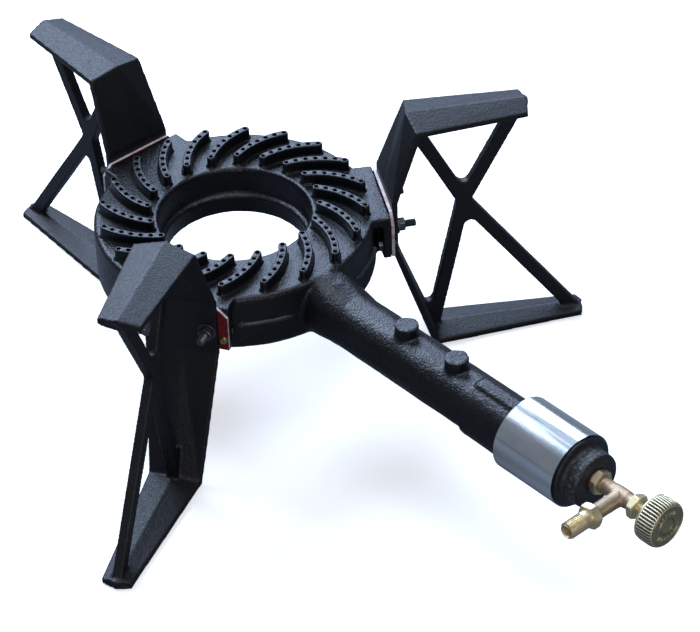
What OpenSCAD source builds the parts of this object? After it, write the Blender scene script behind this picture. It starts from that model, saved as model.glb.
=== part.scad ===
// Stock pot burner: a cast ring with curved port ribs, a mixing tube, an air sleeve,
// a gas valve and three bolted legs. Millimetres, +Z up, origin on the floor under
// the ring's axis. The mixing tube points along -Y.

/* [Burner ring] */
// Radius of the ring's outer wall
ring_r = 140; // [136:1:150]
// Radius of the centre hole at its top
hole_r = 76; // [68:1:80]
// Height of the ring's top face above the floor
ring_top = 185; // [178:1:192]
// Depth of the ring at its outer wall
ring_depth = 64; // [62:1:68]
// Depth of the ledge in the centre hole
ledge_drop = 30; // [26:1:34]
// How far the ledge stands into the centre hole
ledge_in = 5.5; // [3:0.5:8]
// Depth of the ring at its centre hole
hole_depth = 50; // [46:1:54]
// Thickness of the casting's walls
wall = 7; // [6:0.5:8]
// Rounding of the ring's top edge
edge_round = 4; // [2:0.5:5]
// Rounding of the ring's lower edge
low_round = 10; // [6:1:12]
// Radius of the bead on the ring's wall
bead_r = 2.4; // [1.5:0.1:3]

/* [Port ribs] */
// Number of ribs round the ring
rib_count = 20; // [12:1:20]
// Gas ports in each rib
rib_ports = 7; // [4:1:8]
// Width of a rib
rib_w = 8.5; // [7:0.5:9.5]
// Height of the ribs above the ring
rib_h = 12; // [8:1:16]
// Diameter of a gas port
port_d = 4; // [2.5:0.1:4.2]
// Distance from a rib's outermost port to the ring's edge
port_out_margin = 9.4; // [9.2:0.2:12]
// Distance from a rib's innermost port to the centre hole
port_in_margin = 9.5; // [9.5:0.5:12]
// Angle swept by a rib from its outermost to its innermost port
rib_sweep = 20.7; // [14:0.1:24]
// Bend radius of a rib's centre line
rib_bend_r = 84.6; // [70:0.2:110]
// Azimuth of the first rib's outermost port
rib_start = 8.7; // [0:0.1:18]

/* [Mixing tube] */
// Depth of the tube's axis below the ring's top face
tube_drop = 36.5; // [35:0.5:38]
// Outside diameter of the mixing tube
tube_d = 56; // [54:1:58]
// Bore of the mixing tube
tube_bore = 44; // [40:1:46]
// Distance from the ring's axis to the front face of the end boss
tube_reach = 502.5; // [490:0.5:530]
// Diameter of the tube's mouth flange and end disc
flange_d = 71.3; // [68:0.1:76]
// Thickness of the mouth flange and of the end disc
flange_t = 10; // [8:1:12]
// Diameter of the end boss
end_boss_d = 55; // [46:1:60]
// Length of the end boss
end_boss_len = 17.5; // [12:0.5:22]
// Length of the air windows
window_len = 53; // [44:1:58]
// Width of the top rail
rail_w = 15; // [10:0.5:18]
// Width of the two lower rails
low_rail_w = 24; // [16:1:26]
// Height of the rails on the tube behind the mouth flange
rail_h = 3; // [2:0.5:4]
// Length of the rails behind the mouth flange
rail_len = 62; // [50:1:70]
// Distance of each tube boss from the ring's axis
boss_places = [252, 320.5];
// Diameter of a tube boss
boss_d = 23; // [18:0.5:26]
// Height of the bosses above the ring's top face
boss_rise = 2.4; // [0:0.2:6]

/* [Air sleeve] */
// Wall of the air sleeve
sleeve_wall = 1.4; // [1:0.1:2]
// Length of the air sleeve
sleeve_len = 75; // [70:1:80]
// How far the end disc shows in front of the sleeve
sleeve_setback = 3.4; // [2:0.2:6]
// Diameter of the small hole in the sleeve
sleeve_hole_d = 2.5; // [2:0.5:4]

/* [Lugs and gaskets] */
// Distance from the ring's wall to a lug's flat face
lug_out = 9.3; // [9:0.1:12]
// Width of a lug
lug_w = 94; // [92:1:98]
// Width of a lug's solid middle
lug_block_w = 68; // [66:1:70]
// Height of a lug
lug_h = 49; // [46:1:54]
// Thickness of a lug's ears
ear_t = 8.8; // [7:0.1:9]
// Thickness of the web that joins an ear to the ring
web_t = 10; // [8:1:12]
// Thickness of the insulating gaskets
gasket_t = 3; // [2:0.5:4]
// Height of a gasket
gasket_h = 48; // [46:1:52]
// How far a gasket stands above the ring's top face
gasket_rise = 1; // [0:0.5:3]
// Size of the cut on a gasket's upper corners
gasket_nip = 10; // [6:1:12]

/* [Legs] */
// Height of a leg's pot bar at its edges
bar_z = 270; // [262:1:282]
// Length of a pot bar
bar_len = 116; // [106:1:126]
// Distance from a leg's mounting face out to its pot bar
bar_in = 27.5; // [22:0.5:32]
// Distance from a leg's mounting face out to its foot
foot_in = 43.5; // [38:0.5:48]
// Length of a foot
foot_len = 161; // [150:1:175]
// Width of a pot bar at its outer end
bar_out_w = 43; // [38:1:48]
// Width of a pot bar at its inner end
bar_in_w = 62; // [58:1:66]
// Width of the mounting plate
plate_w = 75; // [75:0.5:76]
// Height of the mounting plate
plate_h = 60; // [56:1:64]
// Height of the mounting plate's top above the bolts
plate_rise = 33; // [30:1:34]
// Width of a foot at its inner end
foot_in_w = 54; // [48:1:60]
// Width of a foot at its outer end
foot_out_w = 30; // [26:1:36]
// Thickness of the leg's strip at its edges
strip_t = 6; // [5:0.5:7]
// Height of the ridge along the strip's middle
ridge = 6.5; // [3:0.5:7]
// Fullness of a pot bar's end and a foot's end
end_crown = 4; // [2:0.5:6]
// Thickness of the braces
brace_t = 10; // [8:0.5:13]
// Depth of the braces
brace_w = 13.5; // [11:0.5:16]
// Radius of the corners between the braces
brace_round = 7; // [4:0.5:8]

/* [Leg fasteners] */
// Thread diameter of the leg studs
stud_d = 8; // [6:1:8]
// Length of a stud outside the lug
stud_out = 28.5; // [24:0.5:34]
// Depth of a stud in the lug
stud_in = 12.5; // [10:0.5:12.5]
// Width across the flats of a leg nut
nut_flats = 13; // [10:1:13]
// Height of a leg nut
nut_h = 6.5; // [5:0.5:8]
// Outside diameter of a washer
washer_d = 18; // [16:1:18]
// Thickness of a washer
washer_t = 1.6; // [1:0.1:2]
// Distance between the two studs of a leg
stud_gap = 56; // [54:0.5:56]
// Depth of the studs below the ring's top face
stud_drop = 23; // [22:0.5:25]
// Thread diameter of the gasket screws
screw_d = 5; // [4:0.5:5]
// Distance between the two gasket screws of a lug
screw_gap = 85; // [84.5:0.5:85.5]
// Depth of the gasket screws below the ring's top face
screw_drop = 35; // [33:0.5:37]

/* [Gas valve] */
// Height of the jet above the tube's axis
jet_rise = 3; // [0:0.5:6]
// Width across the flats of the valve's hexagons
valve_flats = 22; // [20:1:24]
// Diameter of the thread in the end boss
shank_d = 14; // [13:0.5:16]
// Outside diameter of the valve's barrel and branch
barrel_d = 16.3; // [15.8:0.1:19]
// Length of the valve's barrel
barrel_len = 38; // [37:1:44]
// Distance from the barrel's back end to the branch's axis
branch_at = 22; // [21:0.5:23]
// Distance from the barrel's axis to the branch's end
branch_len = 33.8; // [28:0.2:40]
// Diameter of the gas inlet's thread
inlet_d = 16.66; // [13.16:0.1:17]
// Length of the gas inlet's nipple
inlet_len = 26; // [18:1:32]
// Bore of the gas inlet
inlet_bore = 9; // [6:0.5:10]
// Diameter of the stem
stem_d = 8; // [7:0.5:8]
// Rise of the valve's plug between shut and fully open
plug_lift = 1.9; // [1:0.1:2]

/* [Knob] */
// Diameter of the knob
knob_d = 46; // [40:1:52]
// Thickness of the knob's rim
knob_t = 20; // [18:1:24]
// Gap between the gland nut's hexagon and the knob's rim
knob_gap = 14; // [12:1:18]
// Number of flutes round the knob
flute_count = 44; // [24:1:48]
// Depth of a flute
flute_depth = 1; // [0.6:0.1:1.4]
// Diameter of the knob's centre cap
cap_d = 17; // [14:1:20]

/* [Hidden] */
$fn = 96;

// One overrun for every cut and join, and the clearances between pieces
cut = 1;
slide_gap = 0.06;
fit_gap = 0.05;
hole_gap = 0.25;
rest_gap = 0.3;

iron = [0.2, 0.2, 0.22];
steel = [0.72, 0.74, 0.76];
brass = [0.78, 0.66, 0.38];
cast_brass = [0.55, 0.44, 0.28];
board = [0.72, 0.16, 0.17];
fibre = [0.75, 0.45, 0.3];
rubber = [0.12, 0.12, 0.12];
packing = [0.85, 0.85, 0.82];

// Azimuths of the back, right and left legs, and of the lower rails
leg_turns = [90, -30, 210];
rail_turns = [210, 330];

// Heights and radii of the ring
ring_low = ring_top - ring_depth;
ledge_z = ring_top - ledge_drop;
hole_low = ring_top - hole_depth;
lip_r = hole_r - ledge_in;
under_share = 0.3;
under_r = hole_r + under_share * (ring_r - hole_r);
bead_z_share = 0.515;
bead_turns = [[-130, -107], [-73, -50]];

// Stations along the tube, from the ring's axis
tube_z = ring_top - tube_drop;
tube_start = ring_r - wall - cut;
neck_len = tube_d * 0.8;
neck_share = 1.15;
disc_front = tube_reach - end_boss_len;
disc_back = disc_front - flange_t;
mouth_front = disc_back - window_len;
mouth_back = mouth_front - flange_t;
sleeve_front = disc_front - sleeve_setback;
sleeve_back = sleeve_front - sleeve_len;
sleeve_bore = flange_d + 2 * slide_gap;
sleeve_hole_turn = 218;

// The lugs and legs, from the ring's axis
lug_face = ring_r + lug_out;
lug_low = ring_top - lug_h;
ear_back = lug_face - ear_t;
leg_face = lug_face + gasket_t;
stud_z = ring_top - stud_drop;
screw_z = ring_top - screw_drop;
plate_top = stud_z + plate_rise;

// The leg's outline: each row holds the distance out, the height and the width, and
// the ridge's shares on the outside and on the inside of the strip
leg_rows = [
    [leg_face + bar_in + bar_len, bar_z, bar_out_w, 0.8, 0.3],
    [leg_face + bar_in, bar_z, bar_in_w, 1, 0.4],
    [leg_face, plate_top, plate_w, 0, 0],
    [leg_face, plate_top - plate_h, plate_w, 0, 0],
    [leg_face + foot_in, 0, foot_in_w, 0, 0.75],
    [leg_face + foot_in + foot_len, 0, foot_out_w, 0, 0.5]];
// The braces' hub and ends, in shares along the bar or foot and of the bar's height
hub_shares = [0.46, 0.6];
bar_end_shares = [[0.06, 0.925], [0.89, 0.947]];
foot_end_shares = [[0.026, 0.03], [0.94, 0.03]];

// The gasket screws' sizes, in the proportions of a pan-head screw and its nut
screw_head_d = screw_d * 1.6;
screw_head_h = screw_d * 0.6;
screw_nut_h = screw_d * 0.8;
screw_flats = screw_d * 1.6;

// The valve's stations along its own axis, from the end boss's front face
valve_z = tube_z + jet_rise;
seal_t = 1.5;
hex_t = 7;
socket_depth = 7;
orifice_len = 4;
body_back = seal_t + hex_t;
branch_z = body_back + branch_at;
body_front = body_back + barrel_len;
seat_back = body_back + socket_depth;
chamber_back = seat_back + orifice_len;
gland_back = body_front - socket_depth;
hex_front = body_front + hex_t;
knob_back = hex_front + knob_gap;
knob_front = knob_back + knob_t;

// The valve's inner sizes
socket_d = 11;
chamber_d = 11;
orifice_d = 6;
passage_d = 7;
gland_d = 13.2;
packing_t = 3;
packing_washer_t = 1;
disc_t = 2;
plug_d = 9;
plug_t = 5.7;
pin_d = 3;
pin_len = 4;
shoulder_t = 2.8;
drive_w = 5.6;
drive_len = 12;
cap_deep = 9;
drive_gap = 2.5;
inlet_seal_t = 0.8;
inlet_hex_t = 8.4;
plug_back = chamber_back + rest_gap + disc_t;
stem_back = plug_back + plug_t + rest_gap;
shoulder_front = gland_back - plug_lift - rest_gap;
screw_seat = knob_front - cap_deep;
drive_front = screw_seat - drive_gap;

// The jet's sizes; it screws into the adapter's inner end
adapter_in = 24.5;
jet_socket = 9.5;
jet_thread_d = 8;
jet_hex_t = 12;
jet_tip_len = 6;

function cis(a) = [cos(a), sin(a)];
function arc(c, r, a0, a1, n) = [for (i = [0:n]) c + r * cis(a0 + (a1 - a0) * i / n)];
function unit(v) = v / norm(v);
function left_of(v) = [-v.y, v.x];

// A rib's centre line is an arc through its outermost and innermost ports
port_out = [ring_r - port_out_margin, 0];
port_in = (hole_r + port_in_margin) * cis(rib_sweep);
rib_chord = port_in - port_out;
rib_centre = (port_in + port_out) / 2
    + left_of(unit(rib_chord)) * sqrt(pow(rib_bend_r, 2) - pow(norm(rib_chord) / 2, 2));
rib_a0 = atan2(port_out.y - rib_centre.y, port_out.x - rib_centre.x);
rib_a1 = atan2(port_in.y - rib_centre.y, port_in.x - rib_centre.x);

module at_legs() {
    for (turn = leg_turns) rotate([0, 0, turn]) children();
}

// Pieces along the tube are drawn with their +Z pointing out along it
module along_tube(height) {
    translate([0, 0, height]) rotate([90, 0, 0]) children();
}

module hex_bar(flats, h) {
    cylinder(d = flats / cos(30), h = h, $fn = 6);
}

module tube_solid(d, bore, h) {
    difference() {
        cylinder(d = d, h = h);
        translate([0, 0, -cut]) cylinder(d = bore, h = h + 2 * cut);
    }
}

// The ribs: each is a curved wall with round ends and a row of ports down to the chamber
module at_ribs() {
    for (i = [0:rib_count - 1]) rotate([0, 0, rib_start + i * 360 / rib_count]) children();
}

module port_rib() {
    translate([rib_centre.x, rib_centre.y, ring_top - cut]) rotate([0, 0, rib_a0])
        rotate_extrude(angle = rib_a1 - rib_a0)
            translate([rib_bend_r - rib_w / 2, 0]) square([rib_w, rib_h + 2 * cut]);
    for (p = [port_out, port_in]) translate([p.x, p.y, ring_top - cut])
        cylinder(d = rib_w - 2 * fit_gap, h = rib_h + 2 * cut);
}

// One flat cut levels the tops of all the ribs
module rib_tops() {
    translate([0, 0, ring_top + rib_h]) cylinder(r = ring_r, h = 4 * cut);
}

module rib_port_bores() {
    for (i = [0:rib_ports - 1]) {
        p = rib_centre + rib_bend_r * cis(rib_a0 + (rib_a1 - rib_a0) * i / (rib_ports - 1));
        translate([p.x, p.y, ring_top - wall - cut]) cylinder(d = port_d, h = wall + rib_h + 3 * cut);
    }
}

module ring_section() {
    polygon(concat(
        arc([ring_r - edge_round, ring_top - edge_round], edge_round, 90, 0, 4),
        arc([ring_r - low_round, ring_low + low_round], low_round, 0, -90, 4),
        [[under_r, ring_low], [lip_r, hole_low], [lip_r, ledge_z], [hole_r, ledge_z]],
        arc([hole_r + edge_round / 2, ring_top - edge_round / 2], edge_round / 2, 180, 90, 3)));
}

module chamber_section() {
    polygon([[hole_r + wall, ring_top - wall], [ring_r - wall, ring_top - wall],
        [ring_r - wall, ring_low + wall], [under_r + wall, ring_low + wall],
        [hole_r + wall, hole_low + wall]]);
}

// A bead on the ring's wall, between the lugs and the tube
module wall_beads() {
    z = ring_low + bead_z_share * ring_depth;
    for (span = bead_turns) rotate([0, 0, span[0]]) rotate_extrude(angle = span[1] - span[0])
        polygon(concat([[ring_r - cut, z - bead_r - cut]], arc([ring_r, z], bead_r, -60, 60, 4),
            [[ring_r - cut, z + bead_r + cut]]));
}

// A lug's middle is solid for the studs; its ears hang from a web and are open behind
module lug() {
    root_x = ring_r - wall - lug_out / 3;
    ear_w = (lug_w - lug_block_w) / 2;
    translate([root_x, -lug_block_w / 2, lug_low]) cube([lug_face - root_x, lug_block_w, lug_h]);
    translate([root_x, -lug_w / 2, ring_top - web_t]) cube([lug_face - root_x, lug_w, web_t]);
    for (s = [-1, 1]) translate([ear_back, s * (lug_w - ear_w) / 2 - ear_w / 2, lug_low])
        cube([ear_t, ear_w, lug_h]);
}

module lug_bores() {
    for (s = [-1, 1]) {
        translate([lug_face - stud_in, s * stud_gap / 2, stud_z]) rotate([0, 90, 0])
            cylinder(d = stud_d + 2 * fit_gap, h = stud_in + cut);
        translate([ear_back - cut, s * screw_gap / 2, screw_z]) rotate([0, 90, 0])
            cylinder(d = screw_d + 2 * hole_gap, h = ear_t + 2 * cut);
    }
}

// The tube swells towards the ring, with a saddle up to the ring's top face
module neck() {
    saddle_w = tube_d * 0.55;
    saddle_low = tube_z + tube_bore / 2 + cut;
    along_tube(tube_z) translate([0, 0, tube_start])
        cylinder(r1 = tube_d / 2 * neck_share, r2 = (tube_d - cut) / 2, h = neck_len);
    translate([-saddle_w / 2, 0, 0]) rotate([90, 0, 90]) linear_extrude(saddle_w)
        polygon([[-tube_start, saddle_low], [-tube_start, ring_top - edge_round],
            [-ring_r, ring_top - edge_round], [-tube_start - neck_len, saddle_low]]);
}

module rail(w, turn, outer_d, inner_d, from, to) {
    rotate([0, 0, turn]) intersection() {
        translate([0, 0, from]) tube_solid(outer_d, inner_d, to - from);
        translate([0, -w / 2, from]) cube([outer_d, w, to - from]);
    }
}

module rails(w, turn) {
    along_tube(tube_z) {
        rail(w, turn, tube_d + 2 * rail_h, tube_bore + 2 * cut, mouth_back - rail_len, mouth_back + cut);
        rail(w, turn, flange_d - cut, tube_d + cut, mouth_front - cut, disc_back + cut);
    }
}

module mixing_tube() {
    neck();
    along_tube(tube_z) {
        translate([0, 0, tube_start]) cylinder(d = tube_d, h = mouth_front - tube_start);
        translate([0, 0, mouth_back]) cylinder(d = flange_d, h = flange_t);
        translate([0, 0, disc_back]) cylinder(d = flange_d, h = flange_t);
        translate([0, 0, disc_front - cut]) cylinder(d = end_boss_d, h = end_boss_len + cut);
    }
    rails(rail_w, 90);
    for (turn = rail_turns) rails(low_rail_w, turn);
    for (at = boss_places) translate([0, -at, tube_z])
        cylinder(d = boss_d, h = tube_drop + boss_rise);
}

module tube_bores() {
    along_tube(tube_z) {
        translate([0, 0, tube_start - wall]) cylinder(d = tube_bore, h = mouth_front - tube_start + wall + cut);
        translate([0, 0, mouth_front - flange_t / 2])
            cylinder(r1 = tube_bore / 2, r2 = tube_bore / 2 + flange_t / 2 + cut, h = flange_t / 2 + cut);
    }
    along_tube(valve_z) translate([0, 0, disc_back - cut])
        cylinder(d = shank_d + 2 * fit_gap, h = tube_reach - disc_back + 2 * cut);
}

module burner_casting() {
    color(iron) difference() {
        union() {
            rotate_extrude() ring_section();
            at_legs() lug();
            mixing_tube();
            wall_beads();
            at_ribs() port_rib();
        }
        rotate_extrude() chamber_section();
        tube_bores();
        at_legs() lug_bores();
        rib_tops();
        at_ribs() rib_port_bores();
    }
}

// A point of the leg's outline moved square to the strip by d, mitred at the corners
function row_point(i) = [leg_rows[i][0], leg_rows[i][1]];
function strip_normal(i) = left_of(unit(row_point(i + 1) - row_point(i)));
function mitred(i, d) =
    let (last = len(leg_rows) - 1)
    let (n0 = strip_normal(max(i - 1, 0)))
    let (n1 = strip_normal(min(i, last - 1)))
    row_point(i) + d * (n0 + n1) / (1 + n0 * n1);
function crown(i) = i == 0 || i == len(leg_rows) - 1 ? end_crown : 0;
function strip_ring(i) =
    let (w = leg_rows[i][2] / 2)
    let (out = mitred(i, -ridge * leg_rows[i][3]) + [crown(i), 0])
    let (in = mitred(i, strip_t + ridge * leg_rows[i][4]) + [crown(i), 0])
    let (e = mitred(i, strip_t))
    let (p = row_point(i))
    [[out.x, 0, out.y], [p.x, w, p.y], [e.x, w, e.y], [in.x, 0, in.y], [e.x, -w, e.y], [p.x, -w, p.y]];

module leg_strip() {
    n = len(leg_rows);
    points = [for (i = [0:n - 1]) each strip_ring(i)];
    sides = [for (i = [0:n - 2], k = [0:5]) each
        [[6 * i + k, 6 * i + 6 + k, 6 * i + (k + 1) % 6],
         [6 * i + (k + 1) % 6, 6 * i + 6 + k, 6 * i + 6 + (k + 1) % 6]]];
    first = [[0, 1, 2], [0, 2, 3], [0, 3, 4], [0, 4, 5]];
    last = [for (f = first) [for (k = [2, 1, 0]) f[k] + 6 * (n - 1)]];
    polyhedron(points, concat(sides, first, last));
}

// The braces cross at the hub and run into the strip, inside its outline
hub = [leg_face + bar_in + hub_shares[0] * bar_len, hub_shares[1] * bar_z];
brace_ends = concat(
    [for (s = bar_end_shares) [leg_face + bar_in + s[0] * bar_len, s[1] * bar_z]],
    [for (s = foot_end_shares) [leg_face + foot_in + s[0] * foot_len, s[1] * bar_z]]);

module leg_outline_2d() {
    last = len(leg_rows) - 1;
    polygon(concat([for (i = [0:last]) mitred(i, strip_t / 2)], [row_point(last), row_point(0)]));
}

module braces_2d() {
    intersection() {
        union() for (p = brace_ends) {
            along = unit(p - hub);
            side = left_of(along) * brace_w / 2;
            end = p + along * brace_w;
            polygon([hub + side, end + side, end - side, hub - side]);
        }
        leg_outline_2d();
    }
}

module filled_braces_2d() {
    offset(r = -brace_round, $fn = 40) offset(delta = brace_round) {
        braces_2d();
        translate(hub) circle(d = brace_w);
        polygon([for (i = [3, 4]) row_point(i), mitred(4, strip_t), mitred(3, strip_t)]);
    }
}

module leg_bores() {
    for (s = [-1, 1]) translate([leg_face - cut, s * stud_gap / 2, stud_z]) rotate([0, 90, 0])
        cylinder(d = stud_d + 2 * hole_gap, h = strip_t + 2 * cut);
}

module leg() {
    color(iron) difference() {
        union() {
            leg_strip();
            rotate([90, 0, 0]) translate([0, 0, -brace_t / 2]) linear_extrude(brace_t) {
                braces_2d();
                intersection() {
                    filled_braces_2d();
                    translate([leg_face, foot_in / 2]) square([bar_len, bar_z * 0.75]);
                    leg_outline_2d();
                }
            }
        }
        leg_bores();
    }
}

module back_leg() { rotate([0, 0, leg_turns[0]]) leg(); }
module right_leg() { rotate([0, 0, leg_turns[1]]) leg(); }
module left_leg() { rotate([0, 0, leg_turns[2]]) leg(); }

module gasket() {
    half = lug_w / 2;
    top = ring_top + gasket_rise;
    low = top - gasket_h;
    color(board) difference() {
        translate([lug_face, 0, 0]) rotate([90, 0, 90]) linear_extrude(gasket_t)
            polygon([[half, top - gasket_nip], [half - gasket_nip, top], [gasket_nip - half, top],
                [-half, top - gasket_nip], [-half, low], [half, low]]);
        for (s = [-1, 1]) {
            translate([lug_face - cut, s * stud_gap / 2, stud_z]) rotate([0, 90, 0])
                cylinder(d = stud_d + 2 * hole_gap, h = gasket_t + 2 * cut);
            translate([lug_face - cut, s * screw_gap / 2, screw_z]) rotate([0, 90, 0])
                cylinder(d = screw_d + 2 * hole_gap, h = gasket_t + 2 * cut);
        }
    }
}

module back_gasket() { rotate([0, 0, leg_turns[0]]) gasket(); }
module right_gasket() { rotate([0, 0, leg_turns[1]]) gasket(); }
module left_gasket() { rotate([0, 0, leg_turns[2]]) gasket(); }

module at_pairs(gap, z, from) {
    at_legs() for (s = [-1, 1]) translate([from, s * gap / 2, z]) rotate([0, 90, 0]) children();
}

module leg_studs() {
    color(steel) at_pairs(stud_gap, stud_z, lug_face - stud_in + fit_gap)
        cylinder(d = stud_d, h = stud_in + stud_out - fit_gap);
}

module leg_washers() {
    color(steel) at_pairs(stud_gap, stud_z, leg_face + strip_t)
        tube_solid(washer_d, stud_d + 2 * hole_gap, washer_t);
}

module leg_nuts() {
    color(steel) at_pairs(stud_gap, stud_z, leg_face + strip_t + washer_t) difference() {
        hex_bar(nut_flats, nut_h);
        translate([0, 0, -cut]) cylinder(d = stud_d + 2 * fit_gap, h = nut_h + 2 * cut);
    }
}

module gasket_screws() {
    shank = leg_face - ear_back + screw_nut_h;
    color(brass) at_pairs(screw_gap, screw_z, ear_back - screw_nut_h) {
        cylinder(d = screw_d, h = shank + screw_head_h / 2);
        translate([0, 0, shank]) difference() {
            cylinder(r1 = screw_head_d / 2, r2 = screw_head_d * 0.4, h = screw_head_h);
            translate([-screw_head_d, -screw_d / 10, screw_head_h * 0.6])
                cube([2 * screw_head_d, screw_d / 5, screw_head_h]);
        }
    }
}

module gasket_screw_nuts() {
    color(steel) at_pairs(screw_gap, screw_z, ear_back - screw_nut_h) difference() {
        hex_bar(screw_flats, screw_nut_h);
        translate([0, 0, -cut]) cylinder(d = screw_d + 2 * fit_gap, h = screw_nut_h + 2 * cut);
    }
}

module air_sleeve() {
    color(steel) along_tube(tube_z) difference() {
        translate([0, 0, sleeve_back]) tube_solid(sleeve_bore + 2 * sleeve_wall, sleeve_bore, sleeve_len);
        translate([0, 0, (sleeve_front + sleeve_back) / 2]) rotate([0, 0, sleeve_hole_turn])
            rotate([0, 90, 0]) cylinder(d = sleeve_hole_d, h = flange_d);
    }
}

module at_valve(from) {
    along_tube(valve_z) translate([0, 0, tube_reach + from]) children();
}

module adapter_washer() {
    color(fibre) at_valve(0) tube_solid(valve_flats - seal_t, shank_d + 2 * fit_gap, seal_t);
}

// The adapter joins the valve to the end boss and carries the jet in its inner end
module outlet_adapter() {
    color(brass) at_valve(0) difference() {
        union() {
            translate([0, 0, -adapter_in]) cylinder(d = shank_d, h = adapter_in + body_back - cut);
            translate([0, 0, seal_t]) rotate([0, 0, 30]) hex_bar(valve_flats, hex_t);
            cylinder(d = socket_d, h = seat_back - cut);
        }
        translate([0, 0, -adapter_in - cut]) cylinder(d = orifice_d, h = adapter_in + seat_back + cut);
        translate([0, 0, -adapter_in - cut]) cylinder(d = jet_thread_d + 2 * fit_gap, h = jet_socket + cut);
    }
}

module jet_nozzle() {
    flats = jet_thread_d * 1.35;
    bore_d = jet_thread_d * 0.6;
    color(brass) at_valve(-adapter_in) rotate([180, 0, 0]) difference() {
        union() {
            translate([0, 0, fit_gap - jet_socket]) cylinder(d = jet_thread_d, h = jet_socket);
            hex_bar(flats, jet_hex_t);
            translate([0, 0, jet_hex_t]) cylinder(r1 = flats * 0.48, r2 = flats / 3, h = jet_tip_len);
        }
        translate([0, 0, -jet_socket - cut]) cylinder(d = bore_d, h = jet_socket + jet_hex_t);
        translate([0, 0, -jet_socket]) cylinder(d = bore_d / 2, h = 2 * jet_socket + jet_hex_t);
    }
}

module valve_body() {
    color(cast_brass) at_valve(0) difference() {
        union() {
            translate([0, 0, body_back]) cylinder(d = barrel_d, h = barrel_len);
            translate([0, 0, branch_z]) rotate([0, -90, 0]) {
                cylinder(d = barrel_d - 2 * fit_gap, h = branch_len);
                translate([0, 0, branch_len - seal_t]) cylinder(d = barrel_d + cut, h = seal_t);
            }
        }
        translate([0, 0, body_back - cut]) cylinder(d = socket_d + 2 * fit_gap, h = socket_depth + cut);
        translate([0, 0, body_back]) cylinder(d = orifice_d, h = barrel_len / 2);
        translate([0, 0, chamber_back]) cylinder(d = chamber_d, h = body_front - chamber_back);
        translate([0, 0, gland_back]) cylinder(d = gland_d, h = socket_depth + cut);
        translate([0, 0, branch_z]) rotate([0, -90, 0]) {
            cylinder(d = passage_d, h = branch_len + cut);
            translate([0, 0, branch_len - socket_depth]) cylinder(d = gland_d, h = socket_depth + cut);
        }
    }
}

module at_branch(from) {
    at_valve(branch_z) rotate([0, -90, 0]) translate([0, 0, branch_len + from]) children();
}

module inlet_washer() {
    color(fibre) at_branch(0) tube_solid(barrel_d, gland_d, inlet_seal_t);
}

module inlet_adapter() {
    mouth_d = inlet_d - inlet_bore / 3;
    nipple_front = inlet_hex_t + inlet_len;
    color(brass) at_branch(inlet_seal_t) difference() {
        union() {
            translate([0, 0, -socket_depth]) cylinder(d = gland_d - 2 * fit_gap, h = socket_depth + cut);
            rotate([0, 0, 16]) hex_bar(valve_flats, inlet_hex_t);
            cylinder(d = inlet_d, h = nipple_front - cut);
            translate([0, 0, nipple_front - cut]) cylinder(r1 = inlet_d / 2, r2 = inlet_d / 2 - cut, h = cut);
        }
        translate([0, 0, -socket_depth - cut]) cylinder(d = passage_d, h = socket_depth + nipple_front);
        cylinder(d = inlet_bore, h = nipple_front + cut);
        translate([0, 0, nipple_front - inlet_bore / 3])
            cylinder(r1 = inlet_bore / 2, r2 = mouth_d / 2 - cut, h = inlet_bore / 3 + fit_gap);
    }
}

module packing_washer() {
    color(brass) at_valve(gland_back)
        tube_solid(gland_d - 2 * fit_gap, stem_d + 2 * fit_gap, packing_washer_t);
}

module gland_packing() {
    color(packing) at_valve(gland_back + packing_washer_t)
        tube_solid(gland_d - 2 * fit_gap, stem_d + 2 * fit_gap, packing_t);
}

module gland_nut() {
    thread_back = gland_back + packing_washer_t + packing_t;
    collar_d = stem_d * 1.5;
    color(brass) at_valve(0) difference() {
        union() {
            translate([0, 0, thread_back]) cylinder(d = gland_d - 2 * fit_gap, h = body_front + cut - thread_back);
            translate([0, 0, body_front]) rotate([0, 0, 4]) hex_bar(valve_flats, hex_t);
            translate([0, 0, hex_front - cut]) cylinder(d = collar_d, h = knob_gap * 0.35 + cut);
        }
        translate([0, 0, thread_back - cut]) cylinder(d = stem_d + 2 * fit_gap, h = knob_back - thread_back);
    }
}

module seat_washer() {
    color(rubber) at_valve(chamber_back + rest_gap) cylinder(d = plug_d, h = disc_t);
}

// The plug lifts without turning; its pin runs in the stem
module seat_plug() {
    color(brass) at_valve(plug_back) {
        cylinder(d = plug_d, h = plug_t);
        cylinder(d = pin_d, h = plug_t + pin_len);
    }
}

module valve_stem() {
    color(steel) at_valve(0) difference() {
        union() {
            translate([0, 0, stem_back]) cylinder(d = stem_d, h = drive_front - drive_len - stem_back);
            translate([0, 0, shoulder_front - shoulder_t])
                cylinder(d = chamber_d - 2 * fit_gap, h = shoulder_t);
            translate([-drive_w / 2, -drive_w / 2, drive_front - drive_len - cut])
                cube([drive_w, drive_w, drive_len + cut]);
        }
        translate([0, 0, stem_back - cut]) cylinder(d = pin_d + 2 * fit_gap, h = pin_len + 2 * cut);
        translate([0, 0, drive_front - drive_len * 0.7]) cylinder(d = drive_w * 0.6, h = drive_len);
    }
}

// Each flute takes four points: two on the knob's outside and two at the flute's floor
function flute_point(i) =
    let (deep = i % 4 > 1 ? flute_depth : 0)
    (knob_d / 2 - deep) * cis(90 * (i + (i % 2) * 0.3) / flute_count);

module knob_envelope() {
    r = knob_d / 2;
    bevel = 3 * flute_depth;
    rotate_extrude() polygon(concat(
        [[0, 0], [r - 1.4 * flute_depth, 0], [r - 1.4 * flute_depth, flute_depth],
            [r + cut, 2 * flute_depth + cut], [r + cut, knob_t - bevel - cut]],
        arc([r - bevel, knob_t - bevel], bevel, 18, 90, 4),
        [[0, knob_t]]));
}

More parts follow.
